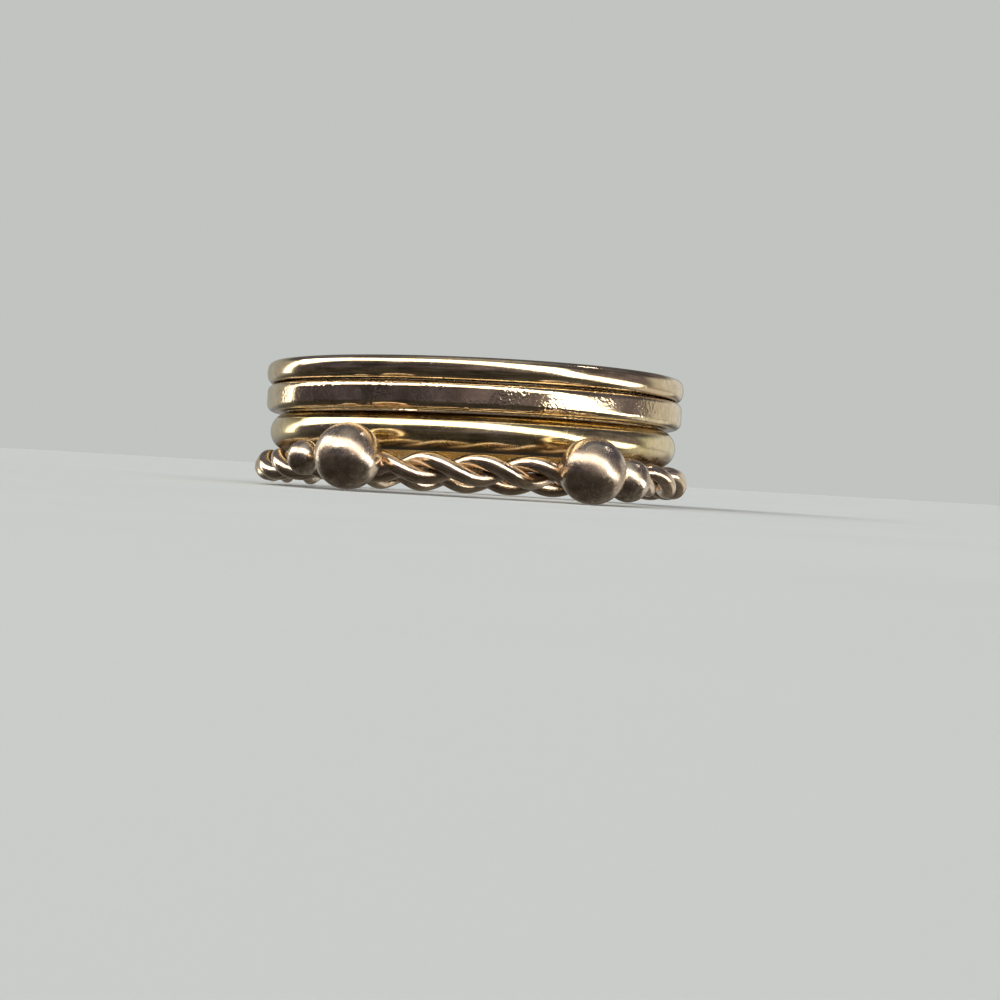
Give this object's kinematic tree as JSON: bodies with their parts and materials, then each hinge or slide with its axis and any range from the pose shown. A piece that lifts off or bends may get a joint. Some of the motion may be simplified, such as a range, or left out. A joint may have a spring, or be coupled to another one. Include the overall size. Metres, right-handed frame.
{
  "type": "stackable ring",
  "caption": "Finger ring of nested gold bands: a round-edged, a flat-faced and a half-round band over a twisted-wire band that carries soldered balls.",
  "frame": {"origin": "middle of the finger hole, at mid-width of the half-round band", "axes": "+Z along the finger axis, from the twisted band towards the upper band; -Y to the front, between the two large balls"},
  "size_m": [0.0212, 0.0226, 0.0064],
  "materials": {
    "polished_gold": "polished yellow gold, lightly worn",
    "twist_gold": "worn gold, a little redder than the plain bands"
  },
  "bodies": {
    "root": {"upper_band": "polished_gold", "middle_band": "polished_gold", "wide_band": "polished_gold", "twisted_band": "twist_gold"}
  },
  "joints": []
}
